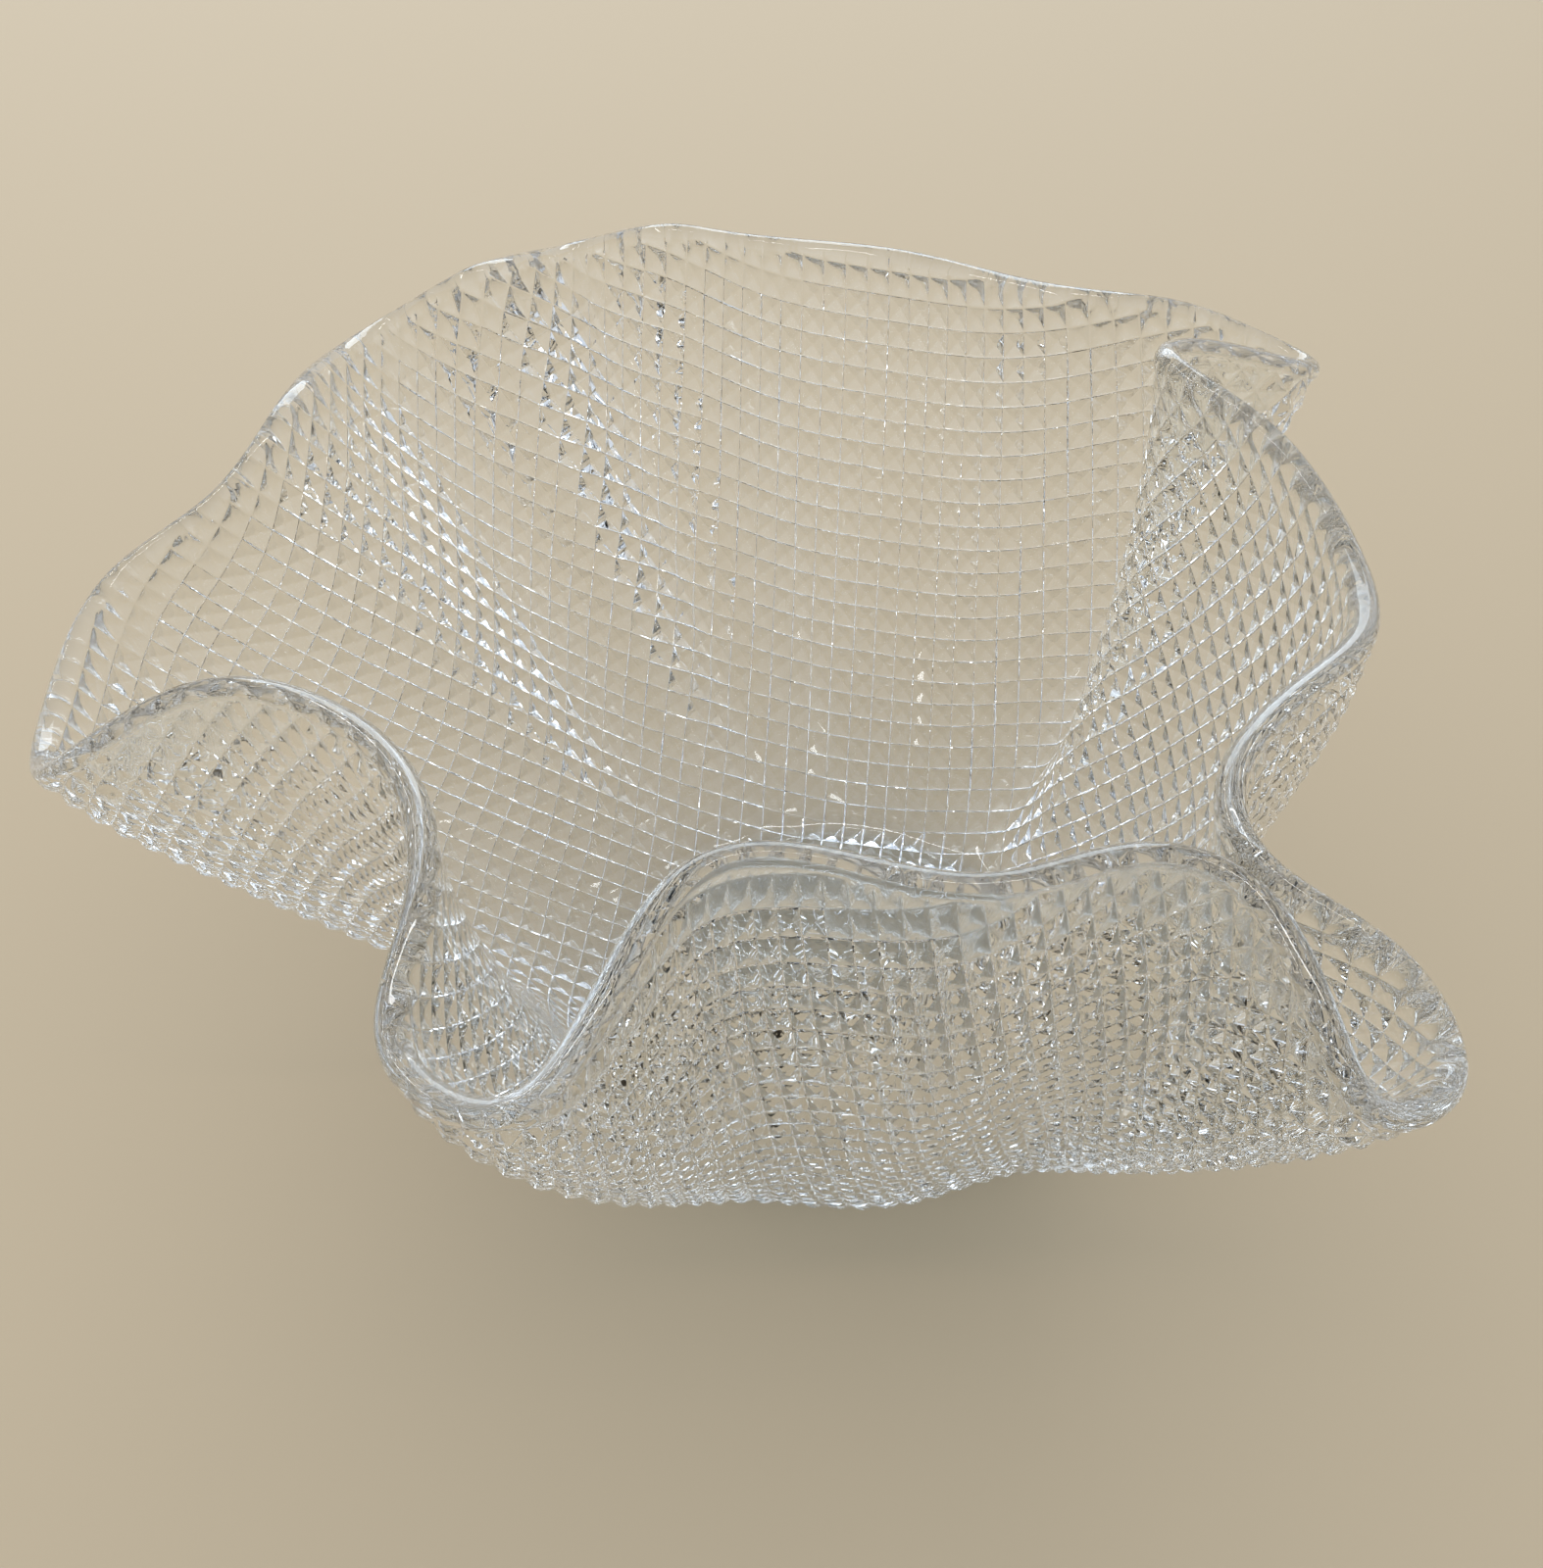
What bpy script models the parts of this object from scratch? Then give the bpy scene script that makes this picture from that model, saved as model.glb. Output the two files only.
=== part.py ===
# Handkerchief vase: one round sheet of patterned glass, slumped into a folded cup.
#
# Metres, +Z up. The origin is the centre of the round foot, on the surface that the vase stands on.
# The flat sheet is laid out as rings and spokes, then every point of it is moved to its place in
# the slumped form. Solidify gives the sheet its thickness and Bevel melts the edge of the rim.

import bmesh
import bpy
import numpy as np
from mathutils import Vector

MM = 0.001

# The sheet of glass before it is slumped
SHEET_RADIUS = 115 * MM
GLASS_THICKNESS = 3.0 * MM
RIM_ROUNDING = 1.1 * MM
RIM_CREASE = np.radians(62)

# The slumped form
FLAT_RADIUS = 28 * MM
FOOT_RADIUS = 32 * MM
HEEL_RADIUS = 40 * MM
WALL_STEEPNESS = 0.74

# How finely the sheet is divided: rings are closest round the heel, and spokes are closest where
# the rim turns most, at one for every SPOKE_RUN along the rim plus one for every SPOKE_TURN
HEEL_SPAN = 30 * MM
HEEL_RINGS = 4
WALL_RINGS = 5
SPOKE_RUN = 7 * MM
SPOKE_TURN = np.radians(24)
CURVE_STEPS = 40
RIM_SAMPLES = 3600
SAME_PLACE = 0.01 * MM

GLASS_COLOUR = (0.88, 0.93, 0.92, 1.0)
GLASS_ROUGHNESS = 0.06
GLASS_IOR = 1.52

# The rim, clockwise from the left lobe as seen from above. Each row is a point of the sheet's edge:
# its direction on the flat sheet (degrees), then where it ends up: direction from the centre
# (degrees), reach from the centre, height above the table and how far the wall below it bellies
# out (mm). A lobe reaches out and hangs low, a pleat stays in and stands tall.
RIM = (
    ("left lobe, tip", 178, 191, 93, 75, 12),
    ("left lobe, back corner", 170, 184, 93, 75, 10),
    ("left lobe, back side", 160, 174, 90, 78, 9),
    ("left lobe, back end", 151, 167, 80, 83, 9),
    ("back left pleat", 142, 157, 77, 88, 9),
    ("back left lobe, near side", 133, 144, 86, 82, 9),
    ("back left lobe, far side", 125, 136, 87, 82, 9),
    ("sharp back pleat", 116, 130, 75, 91, 9),
    ("narrow back lobe", 109, 118, 86, 83, 9),
    ("soft back pleat", 101, 112, 72, 91, 9),
    ("broad back, left", 92, 101, 69, 89, 9),
    ("broad back, middle", 82, 86, 61, 91, 9),
    ("broad back, right", 72, 70, 56, 92, 9),
    ("broad back, end", 63, 54, 55, 94, 9),
    ("back right lobe, far side", 57, 47, 66, 90, 9),
    ("back right lobe, far corner", 52, 42, 76, 84, 9),
    ("back right lobe, near corner", 47, 36, 76, 84, 9),
    ("back right lobe, near side", 42, 36, 64, 90, 9),
    ("right pleat, back side", 38, 38, 55, 94, 9),
    ("right pleat", 33, 37, 46, 97, 9),
    ("right pleat, front side", 28, 28, 45, 97, 9),
    ("right lobe, back", 20, 15, 49, 95, 9),
    ("right lobe, middle", 10, -4, 52, 93, 9),
    ("right lobe, front", 1, -18, 53, 93, 8),
    ("front right pleat, back side", -8, -32, 49, 94, 8),
    ("front right pleat", -17, -50, 50, 94, 8),
    ("front right pleat, front side", -24, -53, 58, 91, 7),
    ("front right lobe, back side", -32, -50, 71, 88, 6),
    ("front right lobe, back corner", -39, -50, 79, 82, 5),
    ("front right lobe, tip", -44, -54, 81, 83, 5),
    ("front right lobe, front corner", -49, -59, 79, 86, 6),
    ("front right lobe, front side", -54, -59, 72, 90, 6),
    ("front face, right end", -61, -57, 61, 93, 7),
    ("front face, right hump", -71, -65, 52, 95, 9),
    ("front face, dip", -82, -81, 52, 96, 9),
    ("front face, left hump", -93, -98, 47, 94, 9),
    ("front face, left end", -102, -110, 52, 94, 9),
    ("front left lobe, right side", -111, -112, 67, 92, 9),
    ("front left lobe, tip", -120, -116, 77, 88, 9),
    ("front left lobe, left side", -127, -124, 76, 88, 9),
    ("left pleat, right side", -135, -129, 66, 92, 9),
    ("left pleat", -144, -140, 58, 94, 9),
    ("left pleat, left side", -154, -155, 62, 93, 10),
    ("left lobe, front side", -164, -163, 74, 89, 11),
    ("left lobe, front corner", -173, -164, 87, 82, 12),
)


def clearScene():
    for obj in list(bpy.data.objects):
        bpy.data.objects.remove(obj, do_unlink=True)


def newCollection(name):
    collection = bpy.data.collections.new(name)
    bpy.context.scene.collection.children.link(collection)
    return collection


def glassMaterial():
    material = bpy.data.materials.new("glass")
    material.use_nodes = True
    shader = material.node_tree.nodes["Principled BSDF"]
    shader.inputs["Base Color"].default_value = GLASS_COLOUR
    shader.inputs["Roughness"].default_value = GLASS_ROUGHNESS
    shader.inputs["Metallic"].default_value = 0.0
    shader.inputs["IOR"].default_value = GLASS_IOR
    shader.inputs["Transmission Weight"].default_value = 1.0
    return material


# Slopes of the smooth closed curve that passes through the values once round the sheet
def loopTangents(angles, values):
    count = len(angles)
    gap = (np.roll(angles, -1) - angles) % (2 * np.pi)
    rise = (np.roll(values, -1, axis=0) - values) / gap[:, None]
    system = np.zeros((count, count))
    known = np.zeros_like(values)
    for i in range(count):
        before = (i - 1) % count
        after = (i + 1) % count
        system[i, before] = gap[i]
        system[i, i] = 2 * (gap[before] + gap[i])
        system[i, after] = gap[before]
        known[i] = 3 * (gap[i] * rise[before] + gap[before] * rise[i])
    return np.linalg.solve(system, known)


# The rim in space, and the belly below it, for any direction on the sheet
class RimCurve:
    def __init__(self):
        rows = [row[1:] for row in RIM][::-1]
        table = np.array(rows, float)
        self.angles = np.radians(table[:, 0])
        around = np.radians(table[:, 1])
        reach = table[:, 2] * MM
        self.values = np.stack(
            [reach * np.cos(around), reach * np.sin(around), table[:, 3] * MM, table[:, 4] * MM], axis=1
        )
        self.slopes = loopTangents(self.angles, self.values)

    def at(self, direction):
        start = self.angles[0]
        turned = (direction - start) % (2 * np.pi)
        steps = (self.angles - start) % (2 * np.pi)
        i = np.searchsorted(steps, turned, side="right") - 1
        j = (i + 1) % len(steps)
        gap = (steps[j] - steps[i]) % (2 * np.pi)
        t = ((turned - steps[i]) / gap)[:, None]
        gap = gap[:, None]
        return (
            (1 + 2 * t) * (1 - t) ** 2 * self.values[i]
            + t * (1 - t) ** 2 * gap * self.slopes[i]
            + t * t * (3 - 2 * t) * self.values[j]
            + t * t * (t - 1) * gap * self.slopes[j]
        )


# The place in space of points of the flat sheet, given as radius and direction
def slump(rim, radius, direction):
    out = np.stack([np.cos(direction), np.sin(direction), 0 * direction], axis=1)
    edge = rim.at(direction)
    top = edge[:, :3]
    belly = edge[:, 3:]
    topOut = top * (1, 1, 0)
    topOut /= np.linalg.norm(topOut, axis=1, keepdims=True)
    away = out + topOut
    away /= np.linalg.norm(away, axis=1, keepdims=True)
    lift = np.array([0, 0, GLASS_THICKNESS / 2])
    foot = FOOT_RADIUS * out + lift
    heel = HEEL_RADIUS * out + lift
    shoulder = heel + (top - heel) * WALL_STEEPNESS + belly * away

    # The wall is one curve from the foot to the rim, shared out evenly along its length
    t = np.linspace(0, 1, CURVE_STEPS + 1)[:, None, None]
    wall = (1 - t) ** 3 * foot + 3 * (1 - t) ** 2 * t * heel + 3 * (1 - t) * t * t * shoulder + t**3 * top
    run = np.linalg.norm(np.diff(wall, axis=0), axis=2)
    run = np.concatenate([np.zeros((1, run.shape[1])), np.cumsum(run, axis=0)])
    share = np.clip((radius - FOOT_RADIUS) / (SHEET_RADIUS - FOOT_RADIUS), 0, 1)
    where = np.array([np.interp(s * run[-1, k], run[:, k], t[:, 0, 0]) for k, s in enumerate(share)])
    w = where[:, None]
    onWall = (1 - w) ** 3 * foot + 3 * (1 - w) ** 2 * w * heel + 3 * (1 - w) * w * w * shoulder + w**3 * top
    onFoot = radius[:, None] * out + lift
    return np.where((radius <= FOOT_RADIUS)[:, None], onFoot, onWall)


# Rings of the sheet: the edge of the flat, close together round the heel, wider up the wall
def ringRadii():
    heelEnd = FOOT_RADIUS + HEEL_SPAN
    heel = np.linspace(FOOT_RADIUS, heelEnd, HEEL_RINGS + 1)
    wall = np.linspace(heelEnd, SHEET_RADIUS, WALL_RINGS + 1)
    return np.concatenate([[0, FLAT_RADIUS], heel, wall[1:]])


# Directions of the spokes on the flat sheet, closest where the rim turns most
def spokeDirections(rim):
    directions = np.linspace(0, 2 * np.pi, RIM_SAMPLES + 1)
    steps = np.diff(rim.at(directions)[:, :3], axis=0)
    runs = np.linalg.norm(steps, axis=1)
    headings = steps / runs[:, None]
    turns = np.arccos(np.clip(np.sum(headings * np.roll(headings, 1, axis=0), axis=1), -1, 1))
    spokesPassed = np.concatenate([[0], np.cumsum(runs / SPOKE_RUN + turns / SPOKE_TURN)])
    count = round(spokesPassed[-1])
    return np.interp(np.arange(count) * spokesPassed[-1] / count, spokesPassed, directions)


# A flat disc: one spoke spun round the centre
def flatSheet(count):
    mesh = bmesh.new()
    spoke = [mesh.verts.new((radius, 0, 0)) for radius in ringRadii()]
    edges = [mesh.edges.new(pair) for pair in zip(spoke, spoke[1:])]
    bmesh.ops.spin(
        mesh, geom=spoke + edges, axis=(0, 0, 1), cent=(0, 0, 0), angle=2 * np.pi, steps=count, use_merge=True
    )
    bmesh.ops.remove_doubles(mesh, verts=mesh.verts, dist=SAME_PLACE)
    bmesh.ops.recalc_face_normals(mesh, faces=mesh.faces)
    if sum(face.normal.z for face in mesh.faces) < 0:
        bmesh.ops.reverse_faces(mesh, faces=mesh.faces)
    return mesh


def buildVase(collection):
    rim = RimCurve()
    directions = spokeDirections(rim)
    sheet = flatSheet(len(directions))
    flat = np.array([vert.co for vert in sheet.verts])
    spokeNumber = np.rint(np.arctan2(flat[:, 1], flat[:, 0]) / (2 * np.pi) * len(directions)).astype(int)
    placed = slump(rim, np.hypot(flat[:, 0], flat[:, 1]), directions[spokeNumber % len(directions)])
    for vert, place in zip(sheet.verts, placed):
        vert.co = Vector(place)
    data = bpy.data.meshes.new("vase")
    sheet.to_mesh(data)
    sheet.free()
    data.materials.append(glassMaterial())
    vase = bpy.data.objects.new("vase", data)
    collection.objects.link(vase)

    thickness = vase.modifiers.new("glass thickness", "SOLIDIFY")
    thickness.thickness = GLASS_THICKNESS
    thickness.offset = 0
    thickness.use_rim = True

    rounding = vase.modifiers.new("melted rim", "BEVEL")
    rounding.width = RIM_ROUNDING
    rounding.segments = 1
    rounding.limit_method = "ANGLE"
    rounding.angle_limit = RIM_CREASE

    data.shade_smooth()
    return vase


clearScene()
buildVase(newCollection("handkerchief_vase"))
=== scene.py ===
import math

import bpy
import numpy as np
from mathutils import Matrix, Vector
from mathutils.geometry import delaunay_2d_cdt


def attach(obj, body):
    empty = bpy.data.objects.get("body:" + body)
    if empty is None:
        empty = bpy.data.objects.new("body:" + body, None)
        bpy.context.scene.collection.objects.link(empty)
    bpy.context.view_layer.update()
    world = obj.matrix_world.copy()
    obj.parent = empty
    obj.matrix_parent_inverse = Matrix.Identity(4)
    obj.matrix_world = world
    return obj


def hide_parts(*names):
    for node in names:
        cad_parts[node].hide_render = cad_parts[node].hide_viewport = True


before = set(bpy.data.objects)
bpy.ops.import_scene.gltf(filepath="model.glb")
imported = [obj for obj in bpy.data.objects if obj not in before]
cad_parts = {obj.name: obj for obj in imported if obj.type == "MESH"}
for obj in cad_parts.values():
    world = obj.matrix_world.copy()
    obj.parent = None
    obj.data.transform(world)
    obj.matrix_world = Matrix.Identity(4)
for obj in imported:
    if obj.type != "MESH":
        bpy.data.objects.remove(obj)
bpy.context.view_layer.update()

mm = 0.001
bpy.ops.object.select_all(action="DESELECT")
print("frame loaded")


# the camera stands where the photograph was taken from
camera = {
    "place": (-10.2 * mm, -134.6 * mm, 202.0 * mm),
    "tilt": math.radians(41.51),
    "sensor": 36.0,
    "lens": 36.0,  # as long as the sensor is wide
    "clipStart": 10 * mm,
}

bpy.ops.object.camera_add(location=camera["place"], rotation=(camera["tilt"], 0, 0))
viewer = bpy.context.object
viewer.name = "viewer"
viewer.data.sensor_width = camera["sensor"]
viewer.data.lens = camera["lens"]
viewer.data.clip_start = camera["clipStart"]
bpy.context.scene.camera = viewer
print("camera placed")


# shader maths written as plain expressions
class Maths:
    def __init__(self, nodes, socket):
        self.nodes = nodes
        self.socket = socket

    def join(self, operation, other):
        return self.nodes.add("ShaderNodeMath", {"operation": operation}, {0: self, 1: other})

    def __add__(self, other):
        return self.join("ADD", other)

    def __mul__(self, other):
        return self.join("MULTIPLY", other)

    __radd__ = __add__
    __rmul__ = __mul__


class Nodes:
    def __init__(self, tree):
        self.tree = tree

    # a node by its type, its own settings and what goes into its sockets
    def add(self, kind, settings=None, inputs=None, output=0):
        node = self.tree.nodes.new(kind)
        for key, value in (settings or {}).items():
            setattr(node, key, value)
        for key, value in (inputs or {}).items():
            if isinstance(value, Maths):
                self.tree.links.new(value.socket, node.inputs[key])
            else:
                node.inputs[key].default_value = value
        return Maths(self, node.outputs[output])


# the sheet of glass, as it was before the kiln and as it came out
sheet = {
    "radius": 115 * mm,
    "thickness": 3.0 * mm,
    "flatRadius": 28 * mm,
    "footRadius": 32 * mm,
    "heelRadius": 40 * mm,
    "steepness": 0.74,
    "curveSteps": 40,
    "ringPoints": 640,
    "innerStep": 2.4 * mm,
    "beadSteps": 8,
    "slopeStep": 0.05 * mm,
    "pointsAtOnce": 20000,
    "samePlace": 0.002 * mm,
    "fit": 0.9975,  # the fine rim stays inside the solid's box
}

# the rim: direction on the flat sheet, then direction, reach, height and belly of the slumped wall
rimFolds = (
    ("left lobe, tip", 178, 191, 93, 75, 12),
    ("left lobe, back corner", 170, 184, 93, 75, 10),
    ("left lobe, back side", 160, 174, 90, 78, 9),
    ("left lobe, back end", 151, 167, 80, 83, 9),
    ("back left pleat", 142, 157, 77, 88, 9),
    ("back left lobe, near side", 133, 144, 86, 82, 9),
    ("back left lobe, far side", 125, 136, 87, 82, 9),
    ("sharp back pleat", 116, 130, 75, 91, 9),
    ("narrow back lobe", 109, 118, 86, 83, 9),
    ("soft back pleat", 101, 112, 72, 91, 9),
    ("broad back, left", 92, 101, 69, 89, 9),
    ("broad back, middle", 82, 86, 61, 91, 9),
    ("broad back, right", 72, 70, 56, 92, 9),
    ("broad back, end", 63, 54, 55, 94, 9),
    ("back right lobe, far side", 57, 47, 66, 90, 9),
    ("back right lobe, far corner", 52, 42, 76, 84, 9),
    ("back right lobe, near corner", 47, 36, 76, 84, 9),
    ("back right lobe, near side", 42, 36, 64, 90, 9),
    ("right pleat, back side", 38, 38, 55, 94, 9),
    ("right pleat", 33, 37, 46, 97, 9),
    ("right pleat, front side", 28, 28, 45, 97, 9),
    ("right lobe, back", 20, 15, 49, 95, 9),
    ("right lobe, middle", 10, -4, 52, 93, 9),
    ("right lobe, front", 1, -18, 53, 93, 8),
    ("front right pleat, back side", -8, -32, 49, 94, 8),
    ("front right pleat", -17, -50, 50, 94, 8),
    ("front right pleat, front side", -24, -53, 58, 91, 7),
    ("front right lobe, back side", -32, -50, 71, 88, 6),
    ("front right lobe, back corner", -39, -50, 79, 82, 5),
    ("front right lobe, tip", -44, -54, 81, 83, 5),
    ("front right lobe, front corner", -49, -59, 79, 86, 6),
    ("front right lobe, front side", -54, -59, 72, 90, 6),
    ("front face, right end", -61, -57, 61, 93, 7),
    ("front face, right hump", -71, -65, 52, 95, 9),
    ("front face, dip", -82, -81, 52, 96, 9),
    ("front face, left hump", -93, -98, 47, 94, 9),
    ("front face, left end", -102, -110, 52, 94, 9),
    ("front left lobe, right side", -111, -112, 67, 92, 9),
    ("front left lobe, tip", -120, -116, 77, 88, 9),
    ("front left lobe, left side", -127, -124, 76, 88, 9),
    ("left pleat, right side", -135, -129, 66, 92, 9),
    ("left pleat", -144, -140, 58, 94, 9),
    ("left pleat, left side", -154, -155, 62, 93, 10),
    ("left lobe, front side", -164, -163, 74, 89, 11),
    ("left lobe, front corner", -173, -164, 87, 82, 12),
)


# slopes of the smooth closed curve through the folds
def closedSlopes(angles, values):
    count = len(angles)
    gap = (np.roll(angles, -1) - angles) % (2 * np.pi)
    rise = (np.roll(values, -1, axis=0) - values) / gap[:, None]
    system = np.zeros((count, count))
    known = np.zeros_like(values)
    for i in range(count):
        before = (i - 1) % count
        after = (i + 1) % count
        system[i, before] = gap[i]
        system[i, i] = 2 * (gap[before] + gap[i])
        system[i, after] = gap[before]
        known[i] = 3 * (gap[i] * rise[before] + gap[before] * rise[i])
    return np.linalg.solve(system, known)


foldTable = np.array([fold[1:] for fold in rimFolds][::-1], float)
foldAngles = np.radians(foldTable[:, 0])
foldAround = np.radians(foldTable[:, 1])
foldValues = mm * np.stack([foldTable[:, 2] * np.cos(foldAround), foldTable[:, 2] * np.sin(foldAround),
                            foldTable[:, 3], foldTable[:, 4]], axis=1)
foldSlopes = closedSlopes(foldAngles, foldValues)


# place of the rim and belly of the wall below it, for directions on the flat sheet
def rimAt(direction):
    start = foldAngles[0]
    turned = (direction - start) % (2 * np.pi)
    steps = (foldAngles - start) % (2 * np.pi)
    i = np.searchsorted(steps, turned, side="right") - 1
    j = (i + 1) % len(steps)
    gap = ((steps[j] - steps[i]) % (2 * np.pi))[:, None]
    t = (turned - steps[i])[:, None] / gap
    return ((1 + 2 * t) * (1 - t) ** 2 * foldValues[i] + t * (1 - t) ** 2 * gap * foldSlopes[i]
            + t * t * (3 - 2 * t) * foldValues[j] + t * t * (t - 1) * gap * foldSlopes[j])


# middle of the slumped glass at points of the flat sheet
def slumped(flat):
    radius = np.hypot(flat[:, 0], flat[:, 1])
    direction = np.arctan2(flat[:, 1], flat[:, 0])
    out = np.stack([np.cos(direction), np.sin(direction), 0 * direction], axis=1)
    edge = rimAt(direction)
    top, belly = edge[:, :3], edge[:, 3:]
    topOut = top * (1, 1, 0)
    topOut /= np.linalg.norm(topOut, axis=1, keepdims=True)
    away = out + topOut
    away /= np.linalg.norm(away, axis=1, keepdims=True)
    lift = np.array([0, 0, sheet["thickness"] / 2])
    foot = sheet["footRadius"] * out + lift
    heel = sheet["heelRadius"] * out + lift
    shoulder = heel + (top - heel) * sheet["steepness"] + belly * away

    def wall(t):
        return (1 - t) ** 3 * foot + 3 * (1 - t) ** 2 * t * heel + 3 * (1 - t) * t * t * shoulder + t**3 * top

    grid = np.linspace(0, 1, sheet["curveSteps"] + 1)
    run = np.linalg.norm(np.diff(wall(grid[:, None, None]), axis=0), axis=2)
    run = np.concatenate([np.zeros((1, run.shape[1])), np.cumsum(run, axis=0)])
    share = (radius - sheet["footRadius"]) / (sheet["radius"] - sheet["footRadius"])
    goal = np.clip(share, 0, 1) * run[-1]
    k = np.clip((run <= goal).sum(axis=0) - 1, 0, len(grid) - 2)
    column = np.arange(run.shape[1])
    within = (goal - run[k, column]) / (run[k + 1, column] - run[k, column])
    onWall = wall(((k + within) / sheet["curveSteps"])[:, None])
    return np.where((radius <= sheet["footRadius"])[:, None], radius[:, None] * out + lift, onWall)


# the place of points of the sheet at a depth: plus is inside the vase, minus outside
def inSpace(flat, depth):
    step = sheet["slopeStep"]
    chunk = sheet["pointsAtOnce"]
    found = []
    for start in range(0, len(flat), chunk):
        part = flat[start:start + chunk]
        radius = np.maximum(np.hypot(part[:, 0], part[:, 1]), step)
        inward = np.minimum(1, (sheet["radius"] - 2 * step) / radius)
        near = part * inward[:, None]
        alongX = slumped(near + (step, 0)) - slumped(near - (step, 0))
        alongY = slumped(near + (0, step)) - slumped(near - (0, step))
        normal = np.cross(alongX, alongY)
        normal /= np.linalg.norm(normal, axis=1, keepdims=True)
        found.append(slumped(part) + normal * depth[start:start + chunk, None])
    return np.concatenate(found)


# the rolled pattern: rows of small square pyramids on the outside
pattern = {
    "pitch": 3.3 * mm,
    "turn": math.radians(-9),
    "relief": 0.56 * mm,
    "grooveHalf": 0.14 * mm,
    "grooveDepth": 0.12 * mm,
    "tipHalf": 0.25 * mm,
    "tipDepth": 0.03 * mm,
    "softZone": 5.2 * mm,  # near the rim the kiln has softened the squares into pillows
    "softCuts": (0, 0.05, 0.14, 0.29, 0.5, 0.71, 0.86, 0.95),
    "softRelief": 1.0 * mm,
    "softPower": 2.2,
    "edgeFade": 0.35 * mm,
    "edgeGap": 0.3 * mm,
    "meshMargin": 1e-7,
}


# one ring of points of the flat sheet, all at one depth
def ring(radius, depth):
    turn = np.arange(sheet["ringPoints"]) * 2 * np.pi / sheet["ringPoints"]
    flat = radius * np.stack([np.cos(turn), np.sin(turn)], axis=1)
    return flat, np.full(len(flat), depth)


# from the pattern's own grid to the sheet, and back
def turned(points, way=1):
    c = math.cos(pattern["turn"])
    s = math.sin(pattern["turn"]) * way
    return points @ np.array([[c, s], [-s, c]])


def turnedBack(points):
    return turned(points, -1)


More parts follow.
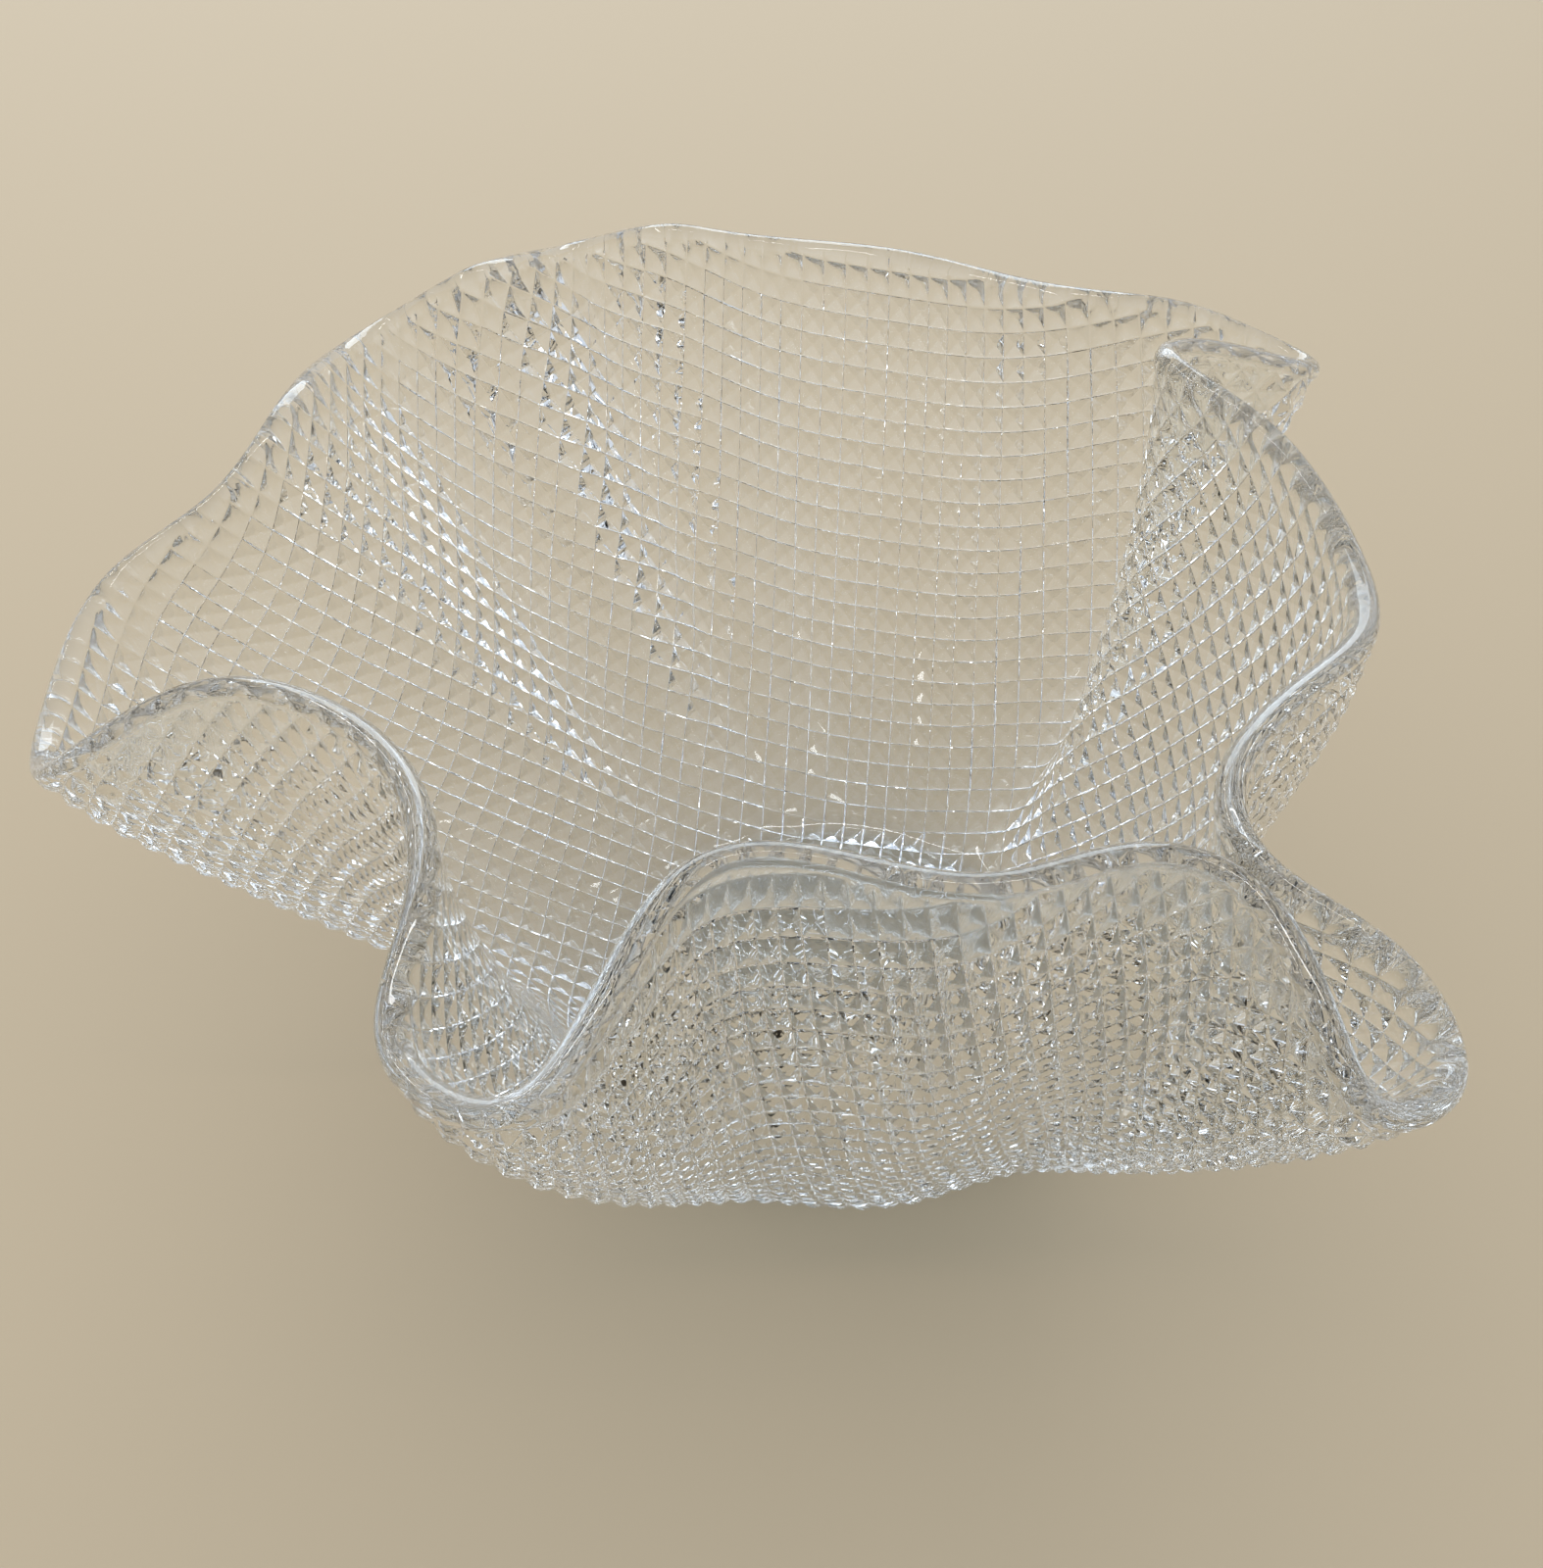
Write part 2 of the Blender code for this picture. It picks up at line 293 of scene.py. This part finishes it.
# the outside of the sheet: points, depths, faces and how many of the faces are sharp
def patternedSide():
    pitch = pattern["pitch"]
    half = sheet["thickness"] / 2
    edgeRadius = sheet["radius"] - half
    count = int(sheet["radius"] / pitch) + 2
    cells = [(i, j) for i in range(-count, count) for j in range(-count, count)]
    corners = np.array([[(i, j), (i + 1, j), (i + 1, j + 1), (i, j + 1)] for i, j in cells], float) * pitch
    reach = np.hypot(corners[..., 0], corners[..., 1]).max(axis=1)
    sharp = reach < sheet["radius"] - pattern["softZone"]
    touched = np.hypot(corners[..., 0], corners[..., 1]).min(axis=1) < edgeRadius
    sharpCells = {cell for cell, isSharp in zip(cells, sharp) if isSharp}

    # sharp squares: a groove all round and four facets up to a point
    points, depths, faces = [], [], []
    numbers = {}

    def number(x, y, depth):
        key = (round(x / mm, 4), round(y / mm, 4))
        if key not in numbers:
            numbers[key] = len(points)
            points.append((x, y))
            depths.append(depth)
        return numbers[key]

    low = -half + pattern["relief"]
    cuts = pattern["softCuts"]
    steps = len(cuts)

    def gridPlace(step):
        return (step // steps + cuts[step % steps]) * pitch

    sides = ((0, -1), (1, 0), (0, 1), (-1, 0))
    for (i, j) in sharpCells:
        x0, y0, x1, y1 = i * pitch, j * pitch, (i + 1) * pitch, (j + 1) * pitch
        square = ((x0, y0), (x1, y0), (x1, y1), (x0, y1))

        def smaller(inset, depth):
            return [number(x + (inset if x == x0 else -inset), y + (inset if y == y0 else -inset), depth)
                    for x, y in square]

        outer = smaller(0, low)
        inner = smaller(pattern["grooveHalf"], low - pattern["grooveDepth"])
        top = smaller(pitch / 2 - pattern["tipHalf"], -half + pattern["tipDepth"])
        tip = number((x0 + x1) / 2, (y0 + y1) / 2, -half)
        for k in range(4):
            m = (k + 1) % 4
            between = []
            # where the soft squares' finer grid meets this side, it has their points
            if (i + sides[k][0], j + sides[k][1]) not in sharpCells:
                (ax, ay), (bx, by) = square[m], square[k]
                forward = cuts[1:] if (bx - ax) + (by - ay) > 0 else [1 - cut for cut in cuts[1:][::-1]]
                between = [number(ax + (bx - ax) * cut, ay + (by - ay) * cut, low) for cut in forward]
            faces.append((outer[m], *between, outer[k], inner[k], inner[m]))
            faces.append((inner[m], inner[k], top[k], top[m]))
            faces.append((top[m], top[k], tip))
    sharpCount = len(faces)

    # soft squares out to the rim, on a finer grid
    softFlat = {}
    for cell, isSharp, isTouched in zip(cells, sharp, touched):
        if isSharp or not isTouched:
            continue
        for a in range(steps + 1):
            for b in range(steps + 1):
                key = (cell[0] * steps + a, cell[1] * steps + b)
                x, y = gridPlace(key[0]), gridPlace(key[1])
                if math.hypot(x, y) < edgeRadius - pattern["edgeGap"]:
                    softFlat[key] = (x, y)
    fill = []
    borderEdges = []
    where = {}
    for key, place in softFlat.items():
        where[key] = len(fill)
        fill.append(place)
    for (i, j) in sharpCells:
        for ahead, start, end in (((i + 1, j), (1, 0), (1, 1)), ((i - 1, j), (0, 0), (0, 1)),
                                  ((i, j + 1), (0, 1), (1, 1)), ((i, j - 1), (0, 0), (1, 0))):
            if ahead in sharpCells:
                continue
            run = [((i * steps + start[0] * steps) + (end[0] - start[0]) * s,
                    (j * steps + start[1] * steps) + (end[1] - start[1]) * s) for s in range(steps + 1)]
            borderEdges += [(where[a], where[b]) for a, b in zip(run, run[1:])]
    gridCount = len(fill)
    back = turnedBack(ring(edgeRadius, 0)[0])
    fill += [tuple(place) for place in back]
    borderEdges += [(gridCount + k, gridCount + (k + 1) % len(back)) for k in range(len(back))]
    filled = delaunay_2d_cdt([Vector(place) for place in fill], borderEdges, [], 0, pattern["meshMargin"])
    triangles = filled[2]
    fillPoints = np.array([tuple(vert) for vert in filled[0]])
    across = fillPoints / pitch
    u = across - np.floor(across) - 0.5
    bump = (1 - np.abs(2 * u) ** pattern["softPower"]).prod(axis=1)
    radius = np.hypot(fillPoints[:, 0], fillPoints[:, 1])
    fade = np.clip((edgeRadius - radius) / pattern["edgeFade"], 0, 1)
    fade = fade * fade * (3 - 2 * fade)
    soft = np.clip((radius - (sheet["radius"] - pattern["softZone"])) / pattern["softZone"], 0, 1)
    pyramid = 1 - 2 * np.abs(u).max(axis=1)
    profile = pyramid * (1 - soft) + bump * soft
    relief = pattern["relief"] + (pattern["softRelief"] - pattern["relief"]) * soft
    fillDepths = -half + fade * (1 - profile) * relief
    for triangle in triangles:
        middle = fillPoints[list(triangle)].mean(axis=0)
        if (math.floor(middle[0] / pitch), math.floor(middle[1] / pitch)) in sharpCells:
            continue
        faces.append(tuple(len(points) + k for k in reversed(triangle)))
    points = np.concatenate([np.array(points), fillPoints])
    depths = np.concatenate([np.array(depths), fillDepths])
    print("pattern:", len(sharpCells), "sharp squares,", len(fill), "points near the rim")
    return turned(points), depths, faces, sharpCount


# the rounded edge and the smooth inside of the sheet
def smoothSide():
    half = sheet["thickness"] / 2
    count = sheet["ringPoints"]
    rings = []
    for angle in np.linspace(-np.pi / 2, np.pi / 2, sheet["beadSteps"] + 1):
        rings.append(ring(sheet["radius"] - half + half * math.cos(angle), half * math.sin(angle)))
    ringSteps = int((sheet["radius"] - half - sheet["flatRadius"]) / sheet["innerStep"])
    for radius in np.linspace(sheet["radius"] - half, sheet["flatRadius"], ringSteps + 1)[1:]:
        rings.append(ring(radius, half))
    points = np.concatenate([flat for flat, _ in rings] + [np.zeros((1, 2))])
    depths = np.concatenate([depth for _, depth in rings] + [np.array([half])])
    faces = []
    for r in range(len(rings) - 1):
        for k in range(count):
            m = (k + 1) % count
            faces.append((r * count + k, r * count + m, (r + 1) * count + m, (r + 1) * count + k))
    last = (len(rings) - 1) * count
    faces += [(last + k, last + (k + 1) % count, len(points) - 1) for k in range(count)]
    return points, depths, faces


def makeGlass():
    outPoints, outDepths, outFaces, sharpCount = patternedSide()
    inPoints, inDepths, inFaces = smoothSide()
    places = inSpace(np.concatenate([outPoints, inPoints]), np.concatenate([outDepths, inDepths]))
    places *= (sheet["fit"], sheet["fit"], 1)
    faces = outFaces + [tuple(len(outPoints) + k for k in face) for face in inFaces]
    mesh = bpy.data.meshes.new("patternedGlass")
    mesh.from_pydata(places.tolist(), [], faces)
    mesh.polygons.foreach_set("use_smooth", [k >= sharpCount for k in range(len(faces))])
    vase = bpy.data.objects.new("patternedGlass", mesh)
    bpy.context.scene.collection.objects.link(vase)
    bpy.ops.object.select_all(action="DESELECT")
    vase.select_set(True)
    bpy.context.view_layer.objects.active = vase
    bpy.ops.object.mode_set(mode="EDIT")
    bpy.ops.mesh.select_all(action="SELECT")
    bpy.ops.mesh.remove_doubles(threshold=sheet["samePlace"])
    bpy.ops.mesh.normals_make_consistent(inside=False)
    bpy.ops.mesh.select_all(action="DESELECT")
    bpy.ops.mesh.select_non_manifold()
    bpy.ops.object.mode_set(mode="OBJECT")
    loose = sum(vert.select for vert in mesh.vertices)
    mesh.calc_loop_triangles()
    print("glass:", len(mesh.loop_triangles), "triangles,", loose, "points on open edges")
    return vase


glass = {
    "colour": (0.985, 0.998, 1.0, 1.0),
    "roughness": 0.002,
    "ior": 1.5,
    "bounces": 12,
    "shadowColour": (0.90, 0.92, 0.93, 1.0),
    "waveScale": 240.0,
    "waveDepth": 0.05 * mm,
    "roughScale": 60.0,
    "roughLeast": 0.6,
    "roughSpread": 0.8,
}


def glassFinish():
    material = bpy.data.materials.new("clearRolledGlass")
    material.use_nodes = True
    tree = material.node_tree
    nodes = Nodes(tree)
    shader = tree.nodes["Principled BSDF"]
    shader.inputs["Base Color"].default_value = glass["colour"]
    shader.inputs["IOR"].default_value = glass["ior"]
    shader.inputs["Transmission Weight"].default_value = 1.0
    place = nodes.add("ShaderNodeTexCoord", output="Object")
    noise = "ShaderNodeTexNoise"
    waves = nodes.add(noise, None, {"Vector": place, "Scale": glass["waveScale"], "Detail": 0.0})
    patches = nodes.add(noise, None, {"Vector": place, "Scale": glass["roughScale"], "Detail": 0.0})
    rough = glass["roughness"] * (glass["roughLeast"] + glass["roughSpread"] * patches)
    tree.links.new(rough.socket, shader.inputs["Roughness"])
    dent = nodes.add("ShaderNodeBump", None,
                     {"Strength": 1.0, "Distance": glass["waveDepth"], "Height": waves})
    tree.links.new(dent.socket, shader.inputs["Normal"])
    # light reaches the floor through the glass, so its shadow is pale
    shadowRay = nodes.add("ShaderNodeLightPath", output=1)
    clear = nodes.add("ShaderNodeBsdfTransparent", None, {"Color": glass["shadowColour"]})
    solid = Maths(nodes, shader.outputs[0])
    both = nodes.add("ShaderNodeMixShader", None, {0: shadowRay, 1: solid, 2: clear})
    tree.links.new(both.socket, tree.nodes["Material Output"].inputs["Surface"])
    return material


vase = makeGlass()
vase.data.materials.append(glassFinish())
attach(vase, "root")
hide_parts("vase")
print("glass made")


# floor and light
studio = {
    "floorSize": 8.0,
    "floorColour": (0.50, 0.385, 0.25, 1.0),
    "floorRoughness": 0.7,
    "floorShine": 0.2,
    "skyColour": (0.58, 0.66, 0.78, 1.0),
    "horizonColour": (0.72, 0.77, 0.84, 1.0),
    "lampAim": (0, 0, 0.04),
    "lamps": (
        {"name": "backWindow", "place": (-0.2, 2.2, 1.3), "size": (2.8, 1.5), "power": 60.0,
         "colour": (0.78, 0.89, 1.0)},
        {"name": "stripAbove", "place": (0, -0.20, 1.3), "size": (1.2, 0.05), "power": 2.8,
         "colour": (0.95, 0.98, 1.0)},
        {"name": "stripLeft", "place": (-0.9, 0.10, 0.9), "size": (1.0, 0.05), "power": 2.0,
         "colour": (0.95, 0.98, 1.0)},
    ),
}


def makeFloor():
    bpy.ops.object.select_all(action="DESELECT")
    bpy.ops.mesh.primitive_plane_add(size=studio["floorSize"], location=(0, 0, 0))
    floor = bpy.context.object
    floor.name = "floor"
    material = bpy.data.materials.new("paleFloor")
    material.use_nodes = True
    shader = material.node_tree.nodes["Principled BSDF"]
    shader.inputs["Base Color"].default_value = studio["floorColour"]
    shader.inputs["Roughness"].default_value = studio["floorRoughness"]
    shader.inputs["Specular IOR Level"].default_value = studio["floorShine"]
    floor.data.materials.append(material)


def makeLamp(settings):
    lamp = bpy.data.lights.new(settings["name"], "AREA")
    lamp.shape = "RECTANGLE"
    lamp.size, lamp.size_y = settings["size"]
    lamp.energy = settings["power"]
    lamp.color = settings["colour"]
    held = bpy.data.objects.new(settings["name"], lamp)
    held.location = settings["place"]
    facing = Vector(studio["lampAim"]) - Vector(settings["place"])
    held.rotation_euler = facing.to_track_quat("-Z", "Y").to_euler()
    held.visible_camera = False
    bpy.context.scene.collection.objects.link(held)


def makeSky():
    world = bpy.data.worlds.new("studio")
    world.use_nodes = True
    nodes = Nodes(world.node_tree)
    direction = nodes.add("ShaderNodeTexCoord")
    upward = nodes.add("ShaderNodeSeparateXYZ", None, {0: direction}, 2)
    sky = nodes.add("ShaderNodeMix", {"data_type": "RGBA"},
                    {0: upward, 6: studio["horizonColour"], 7: studio["skyColour"]}, 2)
    world.node_tree.links.new(sky.socket, world.node_tree.nodes["Background"].inputs["Color"])
    bpy.context.scene.world = world


makeFloor()
for settings in studio["lamps"]:
    makeLamp(settings)
makeSky()
bpy.context.scene.view_settings.view_transform = "Standard"

# light turns inside thick folded glass many times before it leaves, and would end black
cycles = bpy.context.scene.cycles
cycles.max_bounces = glass["bounces"]
cycles.glossy_bounces = glass["bounces"]
cycles.transmission_bounces = glass["bounces"]
# the pale shadow already lets the lamps' light through
cycles.caustics_reflective = False
cycles.caustics_refractive = False
print("studio made")
